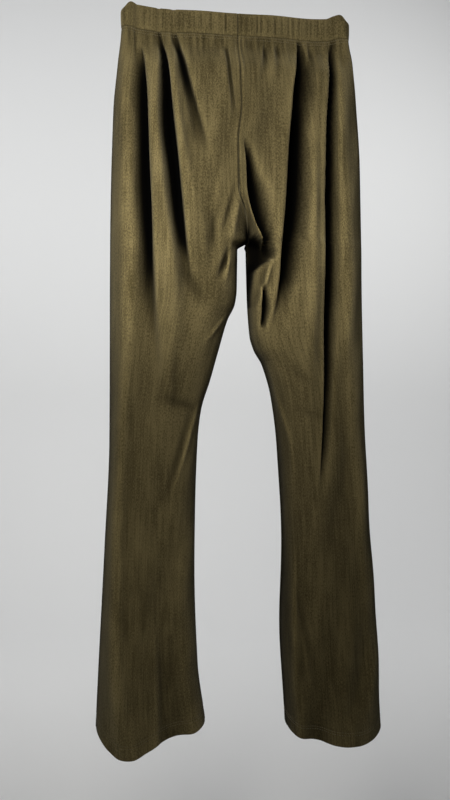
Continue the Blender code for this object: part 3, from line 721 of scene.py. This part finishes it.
def waist_point(side, face, distances_along, drop, outwards):
    """Points of the waistband at distances from the side seam, moved out from its middle line."""
    line = resampled(section(side, face, BAND_HEIGHT)[:, :2])[0]
    length = resampled(line)[1]
    at = np.clip(distances_along, 0, length)
    points = resampled(line, at)[0]
    after, before = (resampled(line, np.clip(at + off, 0, length))[0] for off in (0.0006, -0.0006))
    step = (after - before) / np.linalg.norm(after - before, axis=1, keepdims=True)
    normal = np.column_stack([step[:, 1], -step[:, 0]]) * side * face
    narrow = 1 - 0.045 * (1 - smooth(drop / 0.012)) * smooth((np.abs(points[:, 0]) - 0.135) / 0.025)
    rise = through(WAIST_LIFT, points[:, 0]) * (1 - 0.3 * drop / BAND_HEIGHT)
    xy = points * np.column_stack([narrow, np.ones_like(narrow)]) + normal * outwards[:, None]
    return np.column_stack([xy, -drop + rise])


def band_pleats(face, x, drop):
    """How far the pleats push the band in, faded towards its edges."""
    v = drop / BAND_HEIGHT
    depth = sum(deep * bump(x, at, width) for at, deep, width in PLEATS[face])
    return depth * smooth((v + 0.05) / 0.35) * (1 - smooth((v - 0.72) / 0.26))


def band_stops(side, face):
    """Distances along the waist, close enough to show the pleats."""
    length = resampled(section(side, face, BAND_HEIGHT))[1]
    return np.concatenate([np.linspace(0, length - EDGE[-1], 118)[:-1], length - EDGE[::-1]]), length


def band_profile():
    """The band's folded section as (drop, outwards), up the outside and down the inside."""
    straight = np.linspace(BAND_HEIGHT - 0.0001, FOLD_RADIUS, 24)
    over = np.linspace(0, math.pi, 9)[1:-1]
    centre = BAND_OUT - FOLD_RADIUS
    return ([(d, BAND_OUT + 0.0008 * math.sin(math.pi * d / BAND_HEIGHT)) for d in straight]
            + [(FOLD_RADIUS * (1 - math.sin(a)), centre + FOLD_RADIUS * math.cos(a)) for a in over]
            + [(d, centre - FOLD_RADIUS) for d in straight[::-2]])


def band_row(side, face, drop, outwards, at, length):
    """One row of half a face of the band, and its painted shade in the pleats and in the groove of its
    middle seam.
    """
    middle = waist_point(side, face, at, drop, np.zeros(len(at)))
    push, groove = np.zeros(len(at)), np.zeros(len(at))
    tone_groove = -0.0009 * bump(length - at, 0, 0.0010) + 0.0003 * bump(length - at, 0.003, 0.0013)
    if outwards > -0.001:
        push = band_pleats(face, middle[:, 0], drop)
        groove = tone_groove - 0.0003 * math.exp(-((BAND_HEIGHT - drop) / 0.0010) ** 2)
    # Painted shade in the pleats and in the groove of the middle seam.
    tone = np.exp(-push / 0.0015) * np.exp(np.minimum(tone_groove, 0) / 0.0016)
    return waist_point(side, face, at, drop, outwards + groove - push), tone


def make_band(side):
    """Half of the waistband: one strip folded over the elastic, gathered by it."""
    stops = {face: band_stops(side, face) for face in (FRONT, BACK)}
    profile = band_profile()
    runs = distances(np.array(profile))
    rows, uvs, shades = [], [], []
    for (drop, outwards), run in zip(profile, runs):
        row, uv, shade = [], [], []
        for face, order in ((FRONT, slice(None, None, -1)), (BACK, slice(1, None))):
            at, length = stops[face]
            points, tone = band_row(side, face, drop, outwards, at[order], length)
            row.append(points)
            uv.append(np.column_stack([face * at[order] * side + 0.31, np.full(len(points), -run)]))
            shade.append(tone)
        rows.append(np.concatenate(row))
        uvs.append(np.concatenate(uv))
        shades.append(np.concatenate(shade))
    name = f"waistband_{SIDE_NAMES[side]}"
    mesh = grid_mesh(f"cloth_{name}", np.array(rows), side < 0, np.array(uvs), np.array(shades))
    piece = add_piece(f"cloth_{name}", mesh, CLOTH_LOOK, [name])
    thicken(piece, 0.0009)
    return piece, stops[FRONT][1] + stops[BACK][1], float(runs[-1])


# The panels in their order round the trousers or a leg, each from its side seam onward or back to it.
ALL_ROUND = ((LEFT, BACK, True), (RIGHT, BACK, False), (RIGHT, FRONT, True), (LEFT, FRONT, False))
ROUND_LEG = {side: ((side, BACK, True), (side, FRONT, False)) for side in (LEFT, RIGHT)}


def joined(panels, step, length_of, points_of):
    """Points along every panel in turn, about a step apart, as one closed line."""
    parts = []
    for side, face, onward in panels:
        length = length_of(side, face)
        at = np.linspace(0, length, int(length / step), endpoint=False)
        parts.append(points_of(side, face, at if onward else length - at))
    return np.concatenate(parts)


def waist_loop(drop, outwards):
    """Points all round the waistband's middle line."""
    return joined(ALL_ROUND, 0.004,
                  lambda side, face: resampled(section(side, face, BAND_HEIGHT))[1],
                  lambda side, face, at: waist_point(side, face, at, drop, np.full(len(at), outwards)))


def shown_loop(drop, inset, step=0.003, panels=ALL_ROUND):
    """Points on the panels all round the trousers above the crotch, or all round one leg."""
    return joined(panels, step,
                  lambda side, face: panel_length(side, face, drop),
                  lambda side, face, at: cloth_points(side, face, drop, at, inset))


def even_loop(points, count):
    """The closed line again with evenly spaced points."""
    ring = np.concatenate([points, points[:1]])
    along = distances(ring)
    at = np.linspace(0, along[-1], count, endpoint=False)
    return np.column_stack([np.interp(at, along, column) for column in ring.T])


def solid_mesh(name, points, quads):
    """A solid with crisp edges."""
    mesh = bpy.data.meshes.new(name)
    mesh.from_pydata(points.tolist(), [], quads.tolist())
    mesh.shade_smooth()
    mesh.set_sharp_from_angle(angle=math.radians(50))
    return mesh


def slab_mesh(name, outer, inner):
    """A closed solid between two [row, column] layers of points."""
    outer, inner = np.array(outer), np.array(inner)
    count = outer.shape[0] * outer.shape[1]
    index = np.arange(count).reshape(outer.shape[:2])
    shown = quads_of(index)
    rim = np.concatenate([index[0, :-1], index[:-1, -1], index[-1, :0:-1], index[:0:-1, 0]])
    after = np.roll(rim, -1)
    edge = np.stack([after, rim, rim + count, after + count], -1)
    points = np.concatenate([outer.reshape(-1, 3), inner.reshape(-1, 3)])
    return solid_mesh(name, points, np.concatenate([shown, shown[:, ::-1] + count, edge]))


def ring_mesh(name, loops, count):
    """A closed ring from loops that go round its section, each one a closed line."""
    grid = np.array([even_loop(loop, count) for loop in loops])
    index = np.arange(len(loops) * count).reshape(len(loops), count)
    return solid_mesh(name, grid.reshape(-1, 3), quads_of(np.pad(index, (0, 1), mode="wrap")))


# How far inside the panels' outside the seam allowances and the hems' inner plies start.
PLY = 0.0014
SEAM_END = LENGTH - HEM_ALLOWANCE - 0.001
SEAM_STEP = 0.004


def make_elastic():
    """The loop of elastic inside the waistband."""
    outer, inner = -0.0008, -0.0020
    top, bottom = FOLD_RADIUS + 0.0012, FOLD_RADIUS + ELASTIC_HEIGHT
    loops = [waist_loop(drop, outer) for drop in (top, (top + bottom) / 2, bottom)]
    loops += [waist_loop(drop, inner) for drop in (bottom, (top + bottom) / 2, top)]
    mesh = ring_mesh("elastic_loop", loops, 420)
    add_piece("elastic_loop", mesh, ELASTIC_LOOK, ["waist_elastic"])


def make_waist_seam():
    """The overlocked allowance that joins the waistband to the panels."""
    top, bottom = BAND_HEIGHT + 0.0004, BAND_HEIGHT + SEAM_WIDTH
    loops = [shown_loop(drop, PLY) for drop in (top, (top + bottom) / 2, bottom)]
    loops += [shown_loop(drop, PLY + 0.0013) for drop in (bottom, (top + bottom) / 2, top)]
    mesh = ring_mesh("overlocked_waist_seam", loops, 420)
    add_piece("overlocked_waist_seam", mesh, OVERLOCK_LOOK, ["waist_seam"])


# Distances from a seam to the points across half of its allowance.
ACROSS = np.array([0.0034, 0.0018, 0.0004])


def make_seam(name, drops, panels, at_side, turn):
    """An overlocked allowance between two panels, rippled by its stitches."""
    layers = ([], [])
    for k, drop in enumerate(drops):
        for layer, inset in zip(layers, (PLY, PLY + 0.0012 + 0.0002 * (k % 2))):
            halves = []
            for (side, face), off in zip(panels, (ACROSS, ACROSS[::-1])):
                at = off if at_side else panel_length(side, face, drop) - off
                halves.append(cloth_points(side, face, drop, at, inset))
            layer.append(np.concatenate(halves)[::turn])
    mesh = slab_mesh(f"overlocked_{name}", *layers)
    add_piece(f"overlocked_{name}", mesh, OVERLOCK_LOOK, [name])


def make_seams():
    """The side seams, the inseams and the two halves of the rise seam."""
    below_waist = BAND_HEIGHT + SEAM_WIDTH + 0.001
    for side in (LEFT, RIGHT):
        front, back = (side, FRONT), (side, BACK)
        make_seam(f"{SIDE_NAMES[side]}_side_seam", np.arange(below_waist, SEAM_END, SEAM_STEP),
                  (front, back), True, side)
        make_seam(f"{SIDE_NAMES[side]}_inseam", np.arange(RISE + 0.006, SEAM_END, SEAM_STEP),
                  (back, front), False, side)
    for face in (FRONT, BACK):
        make_seam(f"{FACE_NAMES[face]}_rise_seam", np.arange(below_waist, RISE - 0.004, SEAM_STEP),
                  ((LEFT, face), (RIGHT, face)), False, -face)


def make_hem(side):
    """The turned-up ply inside the hem."""
    name = f"{SIDE_NAMES[side]}_hem"
    stops = np.linspace(LENGTH - HEM_ALLOWANCE, LENGTH - 0.0002, 5)
    loops = [shown_loop(drop, PLY, panels=ROUND_LEG[side]) for drop in stops]
    loops += [shown_loop(drop, PLY + CLOTH, panels=ROUND_LEG[side]) for drop in stops[::-1]]
    return add_piece(f"turned_{name}", ring_mesh(f"turned_{name}", loops, 260), CLOTH_LOOK, [name])


STITCH, STITCH_GAP, STITCH_RADIUS = 0.0026, 0.0008, 0.00027


# Each stitch's section along its length: (place, swell, how far it stands out).
STITCH_FORM = ((0.0, 0.35, -0.4), (0.15, 0.85, 0.25), (0.5, 1.0, 0.5), (0.85, 0.85, 0.25), (1.0, 0.35, -0.4))
SIDES = 6


def stitch_points(line):
    """A thin rounded bar along five points, as [section, point round it]."""
    course = line[-1] - line[0]
    course /= np.linalg.norm(course)
    out = np.cross(course, (0, 0, 1.0))
    out /= np.linalg.norm(out)
    turn = np.arange(SIDES) * 2 * math.pi / SIDES
    spokes = np.outer(np.cos(turn), out) + np.outer(np.sin(turn), (0, 0, 1))
    return [middle + STITCH_RADIUS * (out * stand + spokes * swell)
            for middle, (_, swell, stand) in zip(line, STITCH_FORM)]


def make_stitches(name, ring):
    """A row of separate stitches along a closed line that lies on the cloth."""
    along = distances(ring)
    sections = len(STITCH_FORM)
    index = np.arange(sections * SIDES).reshape(sections, SIDES)
    sides = quads_of(np.pad(index, ((0, 0), (0, 1)), mode="wrap")).tolist()
    ends = [index[0, ::-1].tolist(), index[-1].tolist()]
    points, faces = [], []
    for start in np.arange(0, along[-1] - STITCH, STITCH + STITCH_GAP):
        at = start + STITCH * np.array([place for place, _, _ in STITCH_FORM])
        line = np.column_stack([np.interp(at, along, column) for column in ring.T])
        faces += [[corner + len(points) for corner in face] for face in sides + ends]
        points += np.concatenate(stitch_points(line)).tolist()
    mesh = bpy.data.meshes.new(f"sewn_{name}")
    mesh.from_pydata(points, [], faces)
    mesh.shade_smooth()
    return add_piece(f"sewn_{name}", mesh, THREAD_LOOK, [name])


def make_label():
    """A blank care label, hanging from the left side seam inside the back panel."""
    across = 0.00175 + np.linspace(0, 0.025, 11)
    layers = ([], [])
    for k, drop in enumerate(np.linspace(0.090, 0.135, 19)):
        curl = 0.0012 * (k / 18) ** 2 + 0.0005 * math.sin(k / 3)
        for layer, thick in zip(layers, (0, 0.0004)):
            layer.append(cloth_points(LEFT, BACK, drop, across, PLY + 0.0022 + curl + thick))
    mesh = slab_mesh("care_label_ribbon", *layers)
    add_piece("care_label_ribbon", mesh, LABEL_LOOK, ["care_label"])


BANDS = {side: make_band(side) for side in (LEFT, RIGHT)}
make_elastic()
make_waist_seam()
make_seams()
hems = {side: make_hem(side) for side in (LEFT, RIGHT)}
make_label()
ON_CLOTH = -0.0001
for row, below in WAIST_ROWS.items():
    make_stitches(f"waist_stitching_{row}", shown_loop(BAND_HEIGHT + below, ON_CLOTH, 0.002))
hem_stitches = {LEFT: [], RIGHT: []}
for side, made in hem_stitches.items():
    for row, above in HEM_ROWS.items():
        ring = shown_loop(LENGTH - above, ON_CLOTH, 0.002, ROUND_LEG[side])
        made.append(make_stitches(f"{SIDE_NAMES[side]}_hem_stitching_{row}", ring))


def make_camera():
    """Level, opposite the middle of the hanging trousers and a little to the wearer's right."""
    distance, azimuth, drop, roll, field = 1.2, -8.2, 0.548, -0.2, 2 * math.atan(400 / 850)
    data = bpy.data.cameras.new("camera")
    data.sensor_fit = "VERTICAL"
    data.sensor_height = 36
    data.sensor_width = 36
    data.lens = 18 / math.tan(field / 2)
    data.shift_x = -0.016
    camera = bpy.data.objects.new("camera", data)
    a = math.radians(azimuth)
    camera.location = (distance * math.sin(a), -distance * math.cos(a), -drop)
    camera.rotation_mode = "QUATERNION"
    camera.rotation_quaternion = (Euler((math.pi / 2, 0, a)).to_quaternion()
                                  @ Euler((0, 0, math.radians(roll))).to_quaternion())
    bpy.context.scene.collection.objects.link(camera)
    bpy.context.scene.camera = camera


def make_light(name, location, target, size, power, colour=(1, 1, 1), spread=180):
    """A soft rectangular light, its spread in degrees."""
    data = bpy.data.lights.new(name, "AREA")
    data.shape = "RECTANGLE"
    data.size, data.size_y = size
    data.energy = power
    data.spread = math.radians(spread)
    data.color = colour
    light = bpy.data.objects.new(name, data)
    light.location = location
    light.rotation_euler = (Vector(target) - Vector(location)).to_track_quat("-Z", "Y").to_euler()
    light.visible_camera = False
    bpy.context.scene.collection.objects.link(light)


def make_world():
    """Plain pale surroundings, dimmer as a source of light than as a backdrop."""
    world = bpy.data.worlds.new("studio")
    world.use_nodes = True
    nodes, links = world.node_tree.nodes, world.node_tree.links
    nodes.clear()
    out = nodes.new("ShaderNodeOutputWorld")
    seen, light = nodes.new("ShaderNodeBackground"), nodes.new("ShaderNodeBackground")
    seen.inputs["Color"].default_value = (0.63, 0.63, 0.62, 1)
    light.inputs["Color"].default_value = (0.95, 0.97, 1.0, 1)
    light.inputs["Strength"].default_value = 0.05
    mix, path = nodes.new("ShaderNodeMixShader"), nodes.new("ShaderNodeLightPath")
    links.new(path.outputs["Is Camera Ray"], mix.inputs["Fac"])
    links.new(light.outputs[0], mix.inputs[1])
    links.new(seen.outputs[0], mix.inputs[2])
    links.new(mix.outputs[0], out.inputs["Surface"])
    bpy.context.scene.world = world


def make_backdrop():
    """A plain pale sheet behind the trousers, curving forward into the floor."""
    floor, back, bend, half = -1.42, 2.8, 0.9, 3.6
    angle = np.linspace(0, math.pi / 2, 24)
    y = np.concatenate([[-3.2], back - bend + bend * np.sin(angle), [back]])
    z = np.concatenate([[floor], floor + bend * (1 - np.cos(angle)), [2.6]])
    grid = np.stack([np.stack([np.full_like(y, x), y, z], -1) for x in np.linspace(-half, half, 9)])
    mesh = grid_mesh("backdrop", grid, True)
    sheet = bpy.data.objects.new("backdrop", mesh)
    paper = bpy.data.materials.new("backdrop")
    paper.use_nodes = True
    shader = paper.node_tree.nodes["Principled BSDF"]
    shader.inputs["Base Color"].default_value = (0.74, 0.745, 0.75, 1)
    shader.inputs["Roughness"].default_value = 0.9
    mesh.materials.append(paper)
    bpy.context.scene.collection.objects.link(sheet)


make_camera()
make_world()
make_backdrop()
make_light("key", (-0.30, -0.82, -0.00), (0, 0, -0.34), (0.4, 0.4), 3.85, (1.0, 0.97, 0.90), 96)
make_light("fill", (1.3, -1.4, 0.3), (0, 0, -0.3), (0.8, 1.2), 0.4, (0.95, 0.97, 1.0))
make_light("floor_light", (0, 1.1, 2.0), (0, 1.1, -1.4), (2.4, 2.4), 14)
make_light("back_light", (-1.3, 2.1, 0.3), (0, 0, -0.45), (0.8, 1.2), 3.0, (1.0, 0.98, 0.95), 120)
for side in (LEFT, RIGHT):
    make_light(f"backdrop_light_{SIDE_NAMES[side]}", (side * 1.9, 0.7, 0.8), (side * 0.2, 2.8, 0.0),
               (1.0, 1.0), 21, (1.0, 1.0, 0.99), 130)
bpy.context.scene.view_settings.view_transform = "Standard"
